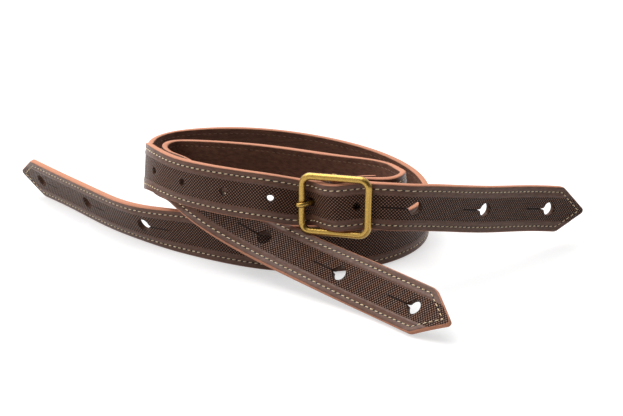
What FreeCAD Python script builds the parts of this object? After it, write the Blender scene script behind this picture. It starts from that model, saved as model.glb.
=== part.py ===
import FreeCAD, Part
import math
import os
from FreeCAD import Vector

# A two-piece leather guitar strap, buckled and lying in a loose coil. Millimetres, +Z up.
# The long strap carries the adjusting holes and runs through the buckle; the short strap
# is folded round the buckle's centre bar. Each free end is pointed and has three keyholes.

doc = FreeCAD.newDocument("guitar_strap")
sheet = doc.addObject("Spreadsheet::Sheet", "sizes")

sizeRows = [
    ("strap_width", 25.4), ("leather_thickness", 1.7), ("lining_thickness", 1.5),
    ("edge_bevel", 0.8), ("nose_radius", 2.0), ("tip_half_angle", 37.0),
    ("shoulder_blend", 1.2), ("stitch_inset", 2.7), ("thread_width", 0.8), ("thread_height", 0.35),
    ("keyhole_radius", 3.75), ("keyhole_pitch", 50.8), ("keyhole_from_tip", 22.5),
    ("slit_length", 18.5), ("slit_width", 0.8),
    ("adjusting_hole_radius", 1.9), ("adjusting_hole_pitch", 25.4),
    ("prong_hole_from_bar", 10.6), ("bar_from_tail", 166.6),
    ("bar_radius", 1.9), ("centre_bar_radius", 1.6), ("centre_bar_setback", 3.2),
    ("frame_side_gap", 0.6), ("frame_bar_spacing", 37.0),
    ("frame_corner_radius", 4.8), ("fold_clearance", 0.2), ("strap_gap", 0.6),
    ("bar_gap", 0.6), ("turnback_length", 20.0), ("lining_start", 9.0),
    ("prong_width", 2.4), ("prong_thickness", 2.0), ("prong_wall", 1.4),
    ("prong_bore_clearance", 0.06), ("prong_side_gap", 0.4), ("prong_hole_gap", 0.7),
    ("prong_lift_gap", 1.0),
]
for row, (alias, value) in enumerate(sizeRows, start=1):
    sheet.set("A%d" % row, alias.replace("_", " "))
    sheet.set("B%d" % row, str(value))
    sheet.setAlias("B%d" % row, alias)
doc.recompute()


def size(alias):
    return float(sheet.get(alias))


width = size("strap_width")
leather = size("leather_thickness")
lining = size("lining_thickness")
bevel = size("edge_bevel")
nose = size("nose_radius")
tipAngle = math.radians(size("tip_half_angle"))
noseSetback = nose / math.sin(tipAngle) - nose
barRadius = size("bar_radius")
halfSpan = size("frame_bar_spacing") / 2.0
foldRadius = size("centre_bar_radius") + size("fold_clearance")
setback = size("centre_bar_setback")
crest = foldRadius - setback + leather + size("strap_gap") + lining
trough = -(barRadius + size("bar_gap") + leather)
routeStep = 14.0
buckleReach = 16.0
humpSteps = 8
foldClear = 7.0
pathSteps = 2400

# centreline points: x, y, z and the lean of the top edge outward in degrees
longRoute = [
    (-161, 113, 13, 18), (-133, 79, 13, 22), (-105, 44, 13, 21), (-82, 21, 13, 21),
    (-51, 3, 13, 2), (-14, -15, 13, -4), (27, -17, 13, -7), (57, 0, 13, -3),
    (74, 31, 14, 0), (70, 63, 17, -5), (42, 91, 22, -4), (-3, 99, 29, -2),
    (-47, 86, 35, -2), (-73, 68, 36, 9), (-80, 46, 38, -6), (-77, 25, 44, -5),
    (-63, 0, 46, 1), (-24, -24, 45, -4), (18, -37, 44, 4), (47, -47, 46, 5),
    (73, -34, 41, 8), (104, -8, 31, 0), (131, 15, 24, -5), (158, 33, 16, -8),
]
shortRoute = [
    (41, -38, 46, 3), (50, -37, 46, 6), (58, -28, 45, -5), (57, -15, 43, -2),
    (50, -3, 42, 9), (31, 15, 40, 3), (-11, 38, 39, -1), (-47, 50, 38, 4),
    (-66, 54, 37, 1), (-73, 46, 38, -15), (-70, 32, 38, -20), (-62, 19, 39, -29),
    (-47, -3, 35, -41), (-20, -22, 23, -44), (11, -46, 16, -43), (45, -77, 12, -36),
    (76, -111, 10, -51),
]


def splineThrough(knots, values):
    n = len(knots)
    gap = [knots[i + 1] - knots[i] for i in range(n - 1)]
    bend, upper, right = [0.0] * n, [0.0] * n, [0.0] * n
    for i in range(1, n - 1):
        pivot = 2 * (gap[i - 1] + gap[i]) - gap[i - 1] * upper[i - 1]
        upper[i] = gap[i] / pivot
        rise = (values[i + 1] - values[i]) / gap[i] - (values[i] - values[i - 1]) / gap[i - 1]
        right[i] = (6 * rise - gap[i - 1] * right[i - 1]) / pivot
    for i in range(n - 2, 0, -1):
        bend[i] = right[i] - upper[i] * bend[i + 1]

    def at(t):
        i = 0
        while i < n - 2 and t > knots[i + 1]:
            i += 1
        a = (knots[i + 1] - t) / gap[i]
        b = 1 - a
        curve = ((a ** 3 - a) * bend[i] + (b ** 3 - b) * bend[i + 1]) * gap[i] ** 2 / 6
        return a * values[i] + b * values[i + 1] + curve
    return at


class Path:
    """A strap's middle line with its width direction, measured by length along it."""

    def __init__(self, points, widths, count=1600):
        knots = [0.0]
        for p, q in zip(points, points[1:]):
            knots.append(knots[-1] + (q - p).Length)
        runs = [splineThrough(knots, [p[i] for p in points]) for i in range(3)]
        leans = [splineThrough(knots, [w[i] for w in widths]) for i in range(3)]
        steps = [knots[-1] * i / count for i in range(count + 1)]
        self.points = [Vector(*[f(t) for f in runs]) for t in steps]
        raw = [Vector(*[f(t) for f in leans]) for t in steps]
        self.along = [0.0]
        for p, q in zip(self.points, self.points[1:]):
            self.along.append(self.along[-1] + (q - p).Length)
        self.length = self.along[-1]
        self.heads, self.widths = [], []
        for i, w in enumerate(raw):
            a, b = max(0, i - 1), min(count, i + 1)
            head = (self.points[b] - self.points[a]).normalize()
            self.heads.append(head)
            self.widths.append((w - head * w.dot(head)).normalize())

    def frame(self, s):
        lo, hi = 0, len(self.along) - 1
        while hi - lo > 1:
            mid = (lo + hi) // 2
            if self.along[mid] <= s:
                lo = mid
            else:
                hi = mid
        f = (s - self.along[lo]) / (self.along[hi] - self.along[lo])
        mix = [v[lo] * (1 - f) + v[hi] * f for v in (self.points, self.heads, self.widths)]
        head = mix[1].normalize()
        across = (mix[2] - head * mix[2].dot(head)).normalize()
        return mix[0], head, across, head.cross(across)

    def at(self, s, across, out):
        point, head, widthWay, outWay = self.frame(s)
        return point + widthWay * across + outWay * out


def leaned(route):
    """The route's points, and at each the strap's width direction with its lean."""
    points = [Vector(*r[:3]) for r in route]
    rough = Path(points, [Vector(0, 0, 1)] * len(points))
    widths = []
    for point, r in zip(points, route):
        near = min(range(len(rough.points)), key=lambda k: (rough.points[k] - point).Length)
        head = rough.heads[near]
        up = (Vector(0, 0, 1) - head * head.z).normalize()
        lean = math.radians(r[3])
        widths.append(up * math.cos(lean) + head.cross(up) * math.sin(lean))
    return points, widths


# the buckle's own frame: x along the strap to the tail, y across it, z out of its face
longBase = Path(*leaned(longRoute))
barStation = longBase.length - size("bar_from_tail")
barPoint, barHead, barAcross, barOut = longBase.frame(barStation)
buckleMatrix = FreeCAD.Matrix(
    barHead.x, barAcross.x, barOut.x, barPoint.x,
    barHead.y, barAcross.y, barOut.y, barPoint.y,
    barHead.z, barAcross.z, barOut.z, barPoint.z, 0, 0, 0, 1)
bucklePlacement = FreeCAD.Placement(buckleMatrix)


def inBuckle(x, z, y=0.0):
    return buckleMatrix.multVec(Vector(x, y, z))


def humpHeight(x):
    if abs(x) >= halfSpan:
        return trough
    return trough + (crest - trough) * (1 + math.cos(math.pi * x / halfSpan)) / 2


def humpOffset(x, depth):
    slope = (humpHeight(x + 0.01) - humpHeight(x - 0.01)) / 0.02
    norm = math.hypot(1, slope)
    return x + slope / norm * depth, humpHeight(x) - depth / norm


def evenly(start, end, step):
    count = round((end - start) / step)
    return [start + (end - start) * k / count for k in range(count + 1)]


def longPath():
    """The drawn route, with the rise over the centre bar put in at the buckle."""
    reach = halfSpan + buckleReach
    before = [longBase.frame(s) for s in evenly(0.0, barStation - reach, routeStep)]
    after = [longBase.frame(s) for s in evenly(barStation + reach, longBase.length, routeStep)]
    over = [halfSpan * k / humpSteps for k in range(-humpSteps, humpSteps + 1)]
    points = [f[0] for f in before] + [inBuckle(x, humpHeight(x)) for x in over]
    widths = [f[2] for f in before] + [barAcross] * len(over)
    return Path(points + [f[0] for f in after], widths + [f[2] for f in after], pathSteps)


def shortPath():
    """Turnback end, fold round the centre bar, then out behind the long strap."""
    gap = size("strap_gap")
    arc = []
    for degrees in range(255, 80, -29):
        turn = math.radians(degrees)
        arc.append(inBuckle(foldRadius * math.cos(turn), foldRadius * math.sin(turn) - setback))
    onward = [inBuckle(*humpOffset(x, lining + gap + leather)) for x in (5.0, 8.0, 11.0, 14.0)]
    points, widths = leaned(shortRoute)
    along = [barAcross] * len(onward) + widths
    onwardRun = Path([arc[-1]] + onward + points, [barAcross] + along)
    back = evenly(size("turnback_length"), foldClear, -3.25)
    turnback = [onwardRun.at(s, 0.0, -lining - gap) for s in back]
    widths = [barAcross] * (len(turnback) + len(arc)) + along
    return Path(turnback + arc + onward + points, widths, pathSteps)


def halfWidth(e):
    """Half width of the strap at a distance from the nose of a pointed end."""
    ends = nose - nose * math.sin(tipAngle)
    if e < ends:
        return math.sqrt(max(0.0, nose ** 2 - (nose - e) ** 2))
    full = width / 2
    sloped = math.tan(tipAngle) * (e + noseSetback)
    blend = size("shoulder_blend") * math.tan(tipAngle)
    if sloped > full + blend:
        return full
    if sloped < full - blend:
        return sloped
    return full - (full + blend - sloped) ** 2 / (4 * blend)


shoulder = width / 2 / math.tan(tipAngle) - noseSetback
noseStart = 0.1
shoulderStep = 0.7
holeFlat = 0.7
leastStep = 0.8
layersDeep = 7.0
facetTurn = math.radians(15.0)
facetLength = 60.0
flatness = 1e-6


def tipSteps():
    steps = [noseStart, 0.35, 0.9, 1.8]
    return steps + [shoulder + k * shoulderStep for k in (-1.5, -0.5, 0.5, 1.5)]


def bodySteps(path, start, end, flats):
    """Stations a set turn of the strap apart, none inside the flat spots at its holes."""
    steps, turned = [start], 0.0
    for i in range(1, len(path.along)):
        s = path.along[i]
        if s <= start or s > end - 1.0:
            continue
        turned += path.heads[i].getAngle(path.heads[i - 1])
        turned += path.widths[i].getAngle(path.widths[i - 1])
        free = all(abs(s - mid) > half + leastStep for mid, half in flats)
        if free and (turned > facetTurn or s - steps[-1] > facetLength):
            steps.append(s)
            turned = 0.0
    return steps + [end]


def stationsAlong(path, start, end, tips, flats):
    """Stations of a layer, as (length along, length of the frame it is drawn in)."""
    steps = tipSteps()
    first = start + (steps[-1] if tips[0] else 0.0)
    last = end - (steps[-1] if tips[1] else 0.0)
    stations = [(s, s) for s in bodySteps(path, first, last, flats)]
    for mid, half in flats:
        stations += [(mid - half, mid), (mid + half, mid)]
    if tips[0]:
        stations += [(start + e, start + e) for e in steps[:-1]]
    if tips[1]:
        stations += [(end - e, end - e) for e in steps[:-1]]
    return sorted(stations)


class Layer:
    """One leather layer: its stations along the path, and which of its ends are pointed."""

    def __init__(self, path, stations, tips):
        self.path, self.stations, self.tips = path, stations, tips

    def half(self, s):
        half = width / 2
        if self.tips[0]:
            half = min(half, halfWidth(s))
        if self.tips[1]:
            half = min(half, halfWidth(self.path.length - s))
        return half

    def at(self, station, across, out):
        s, flat = station
        point, head, widthWay, outWay = self.path.frame(flat)
        return point + head * (s - flat) + widthWay * across + outWay * out


def panel(a, b, c, d):
    """Faces on four corners: one where they lie in a plane, else two with the diagonal that goes down."""
    normal = (b - a).cross(d - a).normalize()
    if abs(normal.dot(c - a)) < flatness:
        return [Part.Face(Part.makePolygon([a, b, c, d, a]))]
    halves = ((a, b, c), (a, c, d)) if a.z > b.z else ((a, b, d), (b, c, d))
    return [Part.Face(Part.makePolygon([p, q, r, p])) for p, q, r in halves]


def closeSolid(faces):
    shell = Part.makeCompound(faces)
    shell.sewShape()
    solid = Part.makeSolid(shell.Shells[0])
    if solid.Volume < 0:
        solid.reverse()
    return solid


def tube(sections, closed=False):
    """A solid through sections of matching corners, capped unless it closes on itself."""
    faces = []
    if closed:
        sections = sections + [sections[0]]
    for low, high in zip(sections, sections[1:]):
        for i in range(len(low)):
            k = (i + 1) % len(low)
            faces += panel(low[i], low[k], high[k], high[i])
    if not closed:
        for points in (sections[0], sections[-1]):
            faces.append(Part.Face(Part.makePolygon(points + [points[0]])))
    return closeSolid(faces)


def layerSolid(layer, profile):
    """A layer of one cross-section: (across as a rule of the half width, out)."""
    sections = []
    for station in layer.stations:
        half = layer.half(station[0])
        sections.append([layer.at(station, across(half), out) for across, out in profile])
    return tube(sections)


def sideProfile(thick, sign):
    """Rounded-over edge from the joint between the layers to the visible face."""
    return [
        (lambda h: h, 0.0),
        (lambda h: h, sign * (thick - bevel)),
        (lambda h: h - min(bevel, h * 0.5), sign * thick),
    ]


def mirrored(profile):
    return [((lambda h, a=a: -a(h)), out) for a, out in reversed(profile)]


def layerProfile(thick, sign):
    right = sideProfile(thick, sign)
    return right + mirrored(right)


def hole(path, s, radius, deep=layersDeep):
    point, head, across, out = path.frame(s)
    return Part.makeCylinder(radius, 2 * deep, point - out * deep, out)


def slit(path, s, towards, length, wide, deep=layersDeep):
    """The slit that lets a keyhole spread over a strap button."""
    point, head, across, out = path.frame(s + towards * length / 2)
    block = Part.makeBox(length, wide, 2 * deep, Vector(-length / 2, -wide / 2, -deep))
    block.Placement = FreeCAD.Placement(FreeCAD.Matrix(
        head.x, across.x, out.x, point.x, head.y, across.y, out.y, point.y,
        head.z, across.z, out.z, point.z, 0, 0, 0, 1))
    return block


def keyholeFlats(tip, inward):
    return [(tip + inward * (size("keyhole_from_tip") + k * size("keyhole_pitch")),
             size("keyhole_radius") + holeFlat) for k in range(3)]


def keyholes(path, tip, inward):
    tools = []
    for k in range(3):
        s = tip + inward * (size("keyhole_from_tip") + k * size("keyhole_pitch"))
        tools.append(hole(path, s, size("keyhole_radius")))
        tools.append(slit(path, s, inward, size("slit_length"), size("slit_width")))
    return tools


def stitchApex(inset):
    return inset / math.sin(tipAngle) - noseSetback


def stitchCorner(inset):
    return stitchApex(inset) + (width / 2 - inset) / math.tan(tipAngle)


def addPiece(label, shape, placement=None):
    piece = doc.addObject("Part::Feature", label)
    piece.Label = label
    piece.Shape = shape
    piece.Placement = placement or FreeCAD.Placement()
    return piece


def nearestStation(path, point, low=0.0, high=1e9):
    spots = [i for i, s in enumerate(path.along) if low <= s <= high]
    return path.along[min(spots, key=lambda i: (path.points[i] - point).Length)]


# the prong's middle line, drawn in the buckle's own frame: x along the strap, z out
prongLine = [(-1.2, -2.5), (-8.5, -1.75), (-11.5, -0.75), (-14.3, 1.0), (-16.6, 2.55),
             (-18.5, 3.04), (-19.6, 2.85)]


def prongEdge(offset, first, last, steps):
    """Points along one edge of the prong, an offset off its middle line."""
    middle = splineThrough([-p[0] for p in prongLine], [p[1] for p in prongLine])
    edge = []
    for k in range(steps + 1):
        x = first + (last - first) * k / steps
        slope = (middle(-x - 0.05) - middle(-x + 0.05)) / -0.1
        norm = math.hypot(1, slope)
        edge.append(Vector(x + offset * slope / norm, 0, middle(-x) - offset / norm))
    return edge


def prongSolid():
    """The prong's shank with the eye that turns on the centre bar."""
    thick, wide = size("prong_thickness"), size("prong_width")
    first, last = prongLine[0][0], prongLine[-1][0]
    upper = prongEdge(-thick / 2, first, last, 6)
    lower = prongEdge(thick / 2, first, last, 6)
    edges = [Part.makeLine(upper[k], lower[k]) for k in (0, -1)]
    for points in (upper, lower):
        curve = Part.BSplineCurve()
        curve.interpolate(Points=points)
        edges.append(curve.toShape())
    side = Part.Face(Part.Wire(Part.__sortEdges__(edges)))
    side.translate(Vector(0, -wide / 2, 0))
    bore = size("centre_bar_radius") + size("prong_bore_clearance")
    base = Vector(0, -wide / 2, -setback)
    eye = Part.makeCylinder(bore + size("prong_wall"), wide, base, Vector(0, 1, 0))
    pin = Part.makeCylinder(bore, wide * 2, base - Vector(0, wide, 0), Vector(0, 1, 0))
    return side.extrude(Vector(0, wide, 0)).fuse(eye).cut(pin)


def prongPassage():
    """The hole the prong has drawn open in the long strap, with room for it to lift."""
    thick, wide, gap = size("prong_thickness"), size("prong_width"), size("prong_hole_gap")
    first, last = prongLine[0][0] - 1.0, prongLine[-1][0] + barRadius
    above = prongEdge(-thick / 2 - size("prong_lift_gap"), first, last, 4)
    below = prongEdge(thick / 2 + gap, first, last, 4)
    outline = Part.makePolygon(above + below[::-1] + above[:1])
    outline.translate(Vector(0, -wide / 2 - gap, 0))
    solid = Part.Face(outline).extrude(Vector(0, wide + 2 * gap, 0))
    solid.Placement = bucklePlacement
    return solid


longRun = longPath()
shortRun = shortPath()
barOnLong = nearestStation(longRun, inBuckle(0, crest))
print("long strap", round(longRun.length, 1), "bar at", round(barOnLong, 1))
print("short strap", round(shortRun.length, 1))

adjusting = [barOnLong - size("prong_hole_from_bar") + size("adjusting_hole_pitch") * (1 - k)
             for k in range(7)]
longFlats = keyholeFlats(0.0, 1) + keyholeFlats(longRun.length, -1)
longFlats += [(s, size("adjusting_hole_radius") + holeFlat) for s in adjusting if s != adjusting[1]]
longTips = (True, True)
longLayer = Layer(longRun, stationsAlong(longRun, 0.0, longRun.length, longTips, longFlats), longTips)
longTools = keyholes(longRun, 0.0, 1) + keyholes(longRun, longRun.length, -1)
longTools += [hole(longRun, s, size("adjusting_hole_radius"), 5.0) for s in adjusting]
longTools.append(prongPassage())
for label, profile in (("long_strap_leather", layerProfile(leather, 1)),
                       ("long_strap_lining", layerProfile(lining, -1))):
    addPiece(label, layerSolid(longLayer, profile).cut(longTools))


def stitchSpots(layer, inset, first, last):
    """Corner points of one rail of the edge stitching, round the tips it has."""
    half = width / 2 - inset
    a = stitchCorner(inset) if layer.tips[0] else first
    b = layer.path.length - stitchCorner(inset) if layer.tips[1] else last
    cornerA = stitchCorner(size("stitch_inset"))
    cornerB = layer.path.length - stitchCorner(size("stitch_inset"))
    between = [st for st in layer.stations
               if max(first, cornerA) + 3 < st[0] < min(last, cornerB) - 3]
    up = [(a, a)] + between + [(b, b)]
    spots = [(st, half) for st in up]
    if layer.tips[1]:
        apex = layer.path.length - stitchApex(inset)
        spots.append(((apex, apex), 0.0))
    spots += [(st, -half) for st in reversed(up)]
    if layer.tips[0]:
        apex = stitchApex(inset)
        spots.append(((apex, apex), 0.0))
    return spots


def stitching(layer, first, last, closed):
    """The raised line of thread that runs inside the strap's outline."""
    inset, wide = size("stitch_inset"), size("thread_width")
    crown = leather + size("thread_height")
    rails = []
    for drawn, out in ((inset - wide / 2, leather), (inset, crown), (inset + wide / 2, leather)):
        spots = stitchSpots(layer, drawn, first, last)
        rails.append([layer.at(station, across, out) for station, across in spots])
    return tube([list(points) for points in zip(*rails)], closed)


def foldStitching(layer, near, far):
    """The U of thread through the turnback, seen on its back."""
    half, wide = width / 2 - size("stitch_inset"), size("thread_width") / 2
    crown = leather + size("thread_height")
    spots = [st for st in layer.stations if near + 2 < st[0] < far - 1]
    rails = []
    for grow, out in ((wide, leather), (0.0, crown), (-wide, leather)):
        a = near - grow
        path = [((far, far), half + grow)] + [(st, half + grow) for st in reversed(spots)]
        path += [((a, a), half + grow), ((a, a), -half - grow)]
        path += [(st, -half - grow) for st in spots] + [((far, far), -half - grow)]
        rails.append([layer.at(station, across, out) for station, across in path])
    return tube([list(points) for points in zip(*rails)])


addPiece("long_strap_stitching", stitching(longLayer, 0.0, longRun.length, True))

# the short strap: turnback, fold round the centre bar, then out to its pointed end
foldTop = nearestStation(shortRun, inBuckle(0.0, foldRadius - setback), 0.0, 60.0)
liningFrom = foldTop + size("lining_start")
shortFlats = keyholeFlats(shortRun.length, -1)
shortTips = (False, True)
shortStations = stationsAlong(shortRun, 0.0, shortRun.length, shortTips, shortFlats)
shortLayer = Layer(shortRun, shortStations, shortTips)
shortLiningLayer = Layer(shortRun, [st for st in shortStations if st[0] > liningFrom], shortTips)
slotHalf = size("prong_width") / 2 + size("prong_side_gap")
slotEnd = foldRadius + leather + 1.8
slotStart = Vector(-slotEnd - size("adjusting_hole_radius"), -slotHalf, -setback - slotEnd)
prongSlot = Part.makeBox(2 * slotEnd + 2 * size("adjusting_hole_radius"), 2 * slotHalf, 2 * slotEnd, slotStart)
prongSlot.Placement = bucklePlacement
shortTools = keyholes(shortRun, shortRun.length, -1)
addPiece("short_strap_leather",
         layerSolid(shortLayer, layerProfile(leather, 1)).cut(shortTools + [prongSlot]))
addPiece("short_strap_lining",
         layerSolid(shortLiningLayer, layerProfile(lining, -1)).cut(shortTools))
addPiece("short_strap_stitching", stitching(shortLayer, foldTop + foldClear, shortRun.length, False))
addPiece("fold_stitching", foldStitching(shortLayer, size("stitch_inset"), size("turnback_length") - foldClear))


def primitive(kind, label, place, turn, sizes):
    """A Part primitive whose sizes and position follow the sheet."""
    piece = doc.addObject(kind, label)
    piece.Placement = FreeCAD.Placement(Vector(0, 0, 0), turn)
    for name, rule in sizes.items():
        piece.setExpression(name, rule)
    for axis, rule in zip("xyz", place):
        piece.setExpression("Placement.Base." + axis, rule)
    return piece


alongX = FreeCAD.Rotation(Vector(0, 1, 0), 90)
alongY = FreeCAD.Rotation(Vector(1, 0, 0), -90)
endOut = "sizes.frame_bar_spacing / 2"
sideOut = "(sizes.strap_width / 2 + sizes.frame_side_gap + sizes.bar_radius)"
corner = "sizes.frame_corner_radius"
bars = []
for sign, label in ((1, "upper_side_bar"), (-1, "lower_side_bar")):
    bars.append(primitive(
        "Part::Cylinder", label, ("-%s + %s" % (endOut, corner), "%d * %s" % (sign, sideOut), "0"),
        alongX, {"Radius": "sizes.bar_radius", "Height": "2 * (%s - %s)" % (endOut, corner)}))
for sign, label in ((1, "tail_end_bar"), (-1, "fold_end_bar")):
    bars.append(primitive(
        "Part::Cylinder", label, ("%d * %s" % (sign, endOut), "-%s + %s" % (sideOut, corner), "0"),
        alongY, {"Radius": "sizes.bar_radius", "Height": "2 * (%s - %s)" % (sideOut, corner)}))
for k, (sx, sy) in enumerate(((1, 1), (-1, 1), (-1, -1), (1, -1))):
    bars.append(primitive(
        "Part::Torus", "corner_%d" % (k + 1),
        ("%d * (%s - %s)" % (sx, endOut, corner), "%d * (%s - %s)" % (sy, sideOut, corner), "0"),
        FreeCAD.Rotation(Vector(0, 0, 1), 90 * k),
        {"Radius1": corner, "Radius2": "sizes.bar_radius", "Angle3": "90"}))
bars.append(primitive(
    "Part::Cylinder", "centre_bar", ("0", "-" + sideOut, "-sizes.centre_bar_setback"),
    alongY, {"Radius": "sizes.centre_bar_radius", "Height": "2 * " + sideOut}))
frame = doc.addObject("Part::MultiFuse", "buckle_frame")
frame.Label = "buckle_frame"
frame.Shapes = bars
frame.Placement = bucklePlacement
addPiece("buckle_prong", prongSolid(), bucklePlacement)
doc.recompute()

nodes = ["long_strap_leather", "long_strap_lining", "long_strap_stitching",
         "short_strap_leather", "short_strap_lining", "short_strap_stitching",
         "fold_stitching", "buckle_frame", "buckle_prong"]
os.makedirs("parts", exist_ok=True)
for piece in doc.Objects:
    if "Invalid" in piece.State or "Error" in piece.State:
        raise RuntimeError("bad state: " + piece.Label)
    if hasattr(piece, "Shape") and (piece.Shape.isNull() or not piece.Shape.isValid()):
        raise RuntimeError("bad shape: " + piece.Label)
for label in nodes:
    found = doc.getObjectsByLabel(label)[0]
    print(label, "solids", len(found.Shape.Solids), "volume", round(found.Shape.Volume, 1))
    found.Shape.exportStep("parts/%s.step" % label)


def say(name, vector):
    print(name, [round(c, 3) for c in vector])


for name, path, tip, inward in (("far_end", longRun, 0.0, 1), ("tail", longRun, longRun.length, -1),
                                ("front_end", shortRun, shortRun.length, -1)):
    for k in range(3):
        s = tip + inward * (size("keyhole_from_tip") + k * size("keyhole_pitch"))
        point, head, across, out = path.frame(s)
        say("%s keyhole %d at" % (name, k + 1), point)
        say("   axis", out)
say("bar point", barPoint + barOut * -setback)
say("bar axis", barAcross)
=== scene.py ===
import math

import bmesh
import bpy
import numpy as np
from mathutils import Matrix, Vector
from mathutils.geometry import delaunay_2d_cdt as delaunay


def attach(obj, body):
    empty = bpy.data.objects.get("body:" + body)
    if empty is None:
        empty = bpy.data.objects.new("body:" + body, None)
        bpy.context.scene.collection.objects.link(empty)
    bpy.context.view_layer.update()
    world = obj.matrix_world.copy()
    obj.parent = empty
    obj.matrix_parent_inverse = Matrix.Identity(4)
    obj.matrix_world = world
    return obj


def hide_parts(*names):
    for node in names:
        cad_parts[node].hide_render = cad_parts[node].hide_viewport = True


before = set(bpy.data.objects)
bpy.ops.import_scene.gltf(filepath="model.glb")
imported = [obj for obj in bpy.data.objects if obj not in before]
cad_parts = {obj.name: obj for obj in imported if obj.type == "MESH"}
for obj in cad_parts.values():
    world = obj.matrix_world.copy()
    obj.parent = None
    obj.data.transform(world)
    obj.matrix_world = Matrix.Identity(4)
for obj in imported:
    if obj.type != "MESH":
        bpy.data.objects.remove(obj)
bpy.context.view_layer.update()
mm = 0.001

# the strap's own sizes, in millimetres
strap = {
    "width": 25.4,
    "leather": 1.7,
    "lining": 1.5,
    "roundOver": 0.8,  # radius of the rounded edges
    "noseRadius": 2.0,
    "tipHalfAngle": 33.5,
    "shoulderBlend": 6.0,
    "tailBeyond": 3.2,  # how far the points reach past the drawn routes
    "frontBeyond": 0.8,
    "restsLower": 0.5,  # the strap lies below the buckle's middle
    "hangsLower": (0.9, 0.3),  # and farther below it just outside the end bars
    "barFromTail": 166.6,
    "barSpacing": 37.0,
    "barRadius": 1.9,
    "centreBarRadius": 1.6,
    "centreBarSetback": 3.2,
    "foldClearance": 0.2,
    "strapGap": 0.6,
    "barGap": 0.6,
    "turnback": 20.0,  # the folded end behind the centre bar
    "liningStart": 9.0,  # where the short lining starts, past the fold
}

# how finely the routes are drawn
drawn = {
    "pieces": 2400,
    "roughPieces": 1600,
    "pointSpacing": 14.0,
    "buckleReach": 16.0,
    "risePoints": 8,
    "foldDegrees": (255, 80, -29),
    "foldClear": 7.0,
    "turnbackStep": -3.25,
    "pastFold": (5.0, 8.0, 11.0, 14.0),
}

# x, y, z of the middle line and the lean of the top edge outward in degrees
longRoute = [
    (-161, 113, 13, 18), (-133, 79, 13, 22), (-105, 44, 13, 21), (-82, 21, 13, 21),
    (-51, 3, 13, 2), (-14, -15, 13, -4), (27, -17, 13, -7), (57, 0, 13, -3),
    (74, 31, 14, 0), (70, 63, 17, -5), (42, 91, 22, -4), (-3, 99, 29, -2),
    (-47, 86, 35, -2), (-73, 68, 36, 9), (-79, 46, 38, -3), (-77, 25, 44, -4),
    (-63, 0, 46, 1), (-24, -24, 45, -4), (18, -37, 44, 4), (47, -47, 46, 5),
    (73, -34, 41, 8), (104, -8, 31, 2), (131, 15, 23.5, -1), (158, 33, 16, -4),
]
shortRoute = [
    (41, -38, 46, 3), (50, -37, 46, 6), (58, -28, 45, -5), (57, -15, 43, -2),
    (50, -3, 42, 9), (31, 15, 40, 3), (-11, 38, 39, -1), (-47, 50, 38, 4),
    (-66, 54, 37, 1), (-73, 46, 38, -15), (-70, 32, 38, -20), (-62, 19, 39, -29),
    (-47, -3, 35, -41), (-20, -21.4, 23.4, -46), (11, -45.1, 16, -49), (45, -77, 12, -37),
    (76, -111, 10, -51),
]

halfWidth = strap["width"] / 2
tipAngle = math.radians(strap["tipHalfAngle"])
noseSetback = strap["noseRadius"] / math.sin(tipAngle) - strap["noseRadius"]
shoulderAcross = halfWidth - strap["shoulderBlend"]
shoulderAlong = (strap["shoulderBlend"] / math.cos(tipAngle) + shoulderAcross) / math.tan(tipAngle)
shoulderAlong -= noseSetback
halfSpan = strap["barSpacing"] / 2
foldRadius = strap["centreBarRadius"] + strap["foldClearance"]
crest = foldRadius - strap["centreBarSetback"] + strap["leather"] + strap["strapGap"] + strap["lining"]
trough = -(strap["barRadius"] + strap["barGap"] + strap["leather"])


def unit(v):
    return v / np.linalg.norm(v, axis=-1, keepdims=True)


def splineThrough(knots, values, t):
    # natural cubic spline through the values, read at every t
    n = len(knots)
    gap = np.diff(knots)
    grid = np.zeros((n, n))
    right = np.zeros((n,) + values.shape[1:])
    grid[0, 0] = grid[-1, -1] = 1
    for i in range(1, n - 1):
        grid[i, i - 1:i + 2] = gap[i - 1], 2 * (gap[i - 1] + gap[i]), gap[i]
        right[i] = 6 * ((values[i + 1] - values[i]) / gap[i] - (values[i] - values[i - 1]) / gap[i - 1])
    bend = np.linalg.solve(grid, right)
    i = np.clip(np.searchsorted(knots, t) - 1, 0, n - 2)
    a = ((knots[i + 1] - t) / gap[i])[:, None]
    b = 1 - a
    curve = ((a ** 3 - a) * bend[i] + (b ** 3 - b) * bend[i + 1]) * gap[i][:, None] ** 2 / 6
    return a * values[i] + b * values[i + 1] + curve


class Path:
    # a strap's middle line with its width and face directions, by length along it

    def __init__(self, points, widths, count=drawn["pieces"]):
        points, widths = np.array(points, float), np.array(widths, float)
        knots = np.concatenate([[0], np.cumsum(np.linalg.norm(np.diff(points, axis=0), axis=1))])
        t = np.linspace(0, knots[-1], count + 1)
        self.points = splineThrough(knots, points, t)
        steps = np.linalg.norm(np.diff(self.points, axis=0), axis=1)
        self.along = np.concatenate([[0], np.cumsum(steps)])
        self.length = self.along[-1]
        ahead = np.concatenate([self.points[1:], self.points[-1:]])
        behind = np.concatenate([self.points[:1], self.points[:-1]])
        self.heads = unit(ahead - behind)
        raw = splineThrough(knots, widths, t)
        self.widths = unit(raw - self.heads * np.sum(raw * self.heads, axis=1, keepdims=True))

    def frame(self, s):
        s = np.atleast_1d(s)
        beyond = s - np.clip(s, 0, self.length)
        point, head, across = [
            np.stack([np.interp(s, self.along, v[:, k]) for k in range(3)], axis=1)
            for v in (self.points, self.heads, self.widths)]
        head = unit(head)
        across = unit(across - head * np.sum(across * head, axis=1, keepdims=True))
        return point + head * beyond[:, None], head, across, np.cross(head, across)

    def at(self, s, across, out):
        point, head, widthWay, outWay = self.frame(s)
        return point + widthWay * np.reshape(across, (-1, 1)) + outWay * np.reshape(out, (-1, 1))


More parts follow.
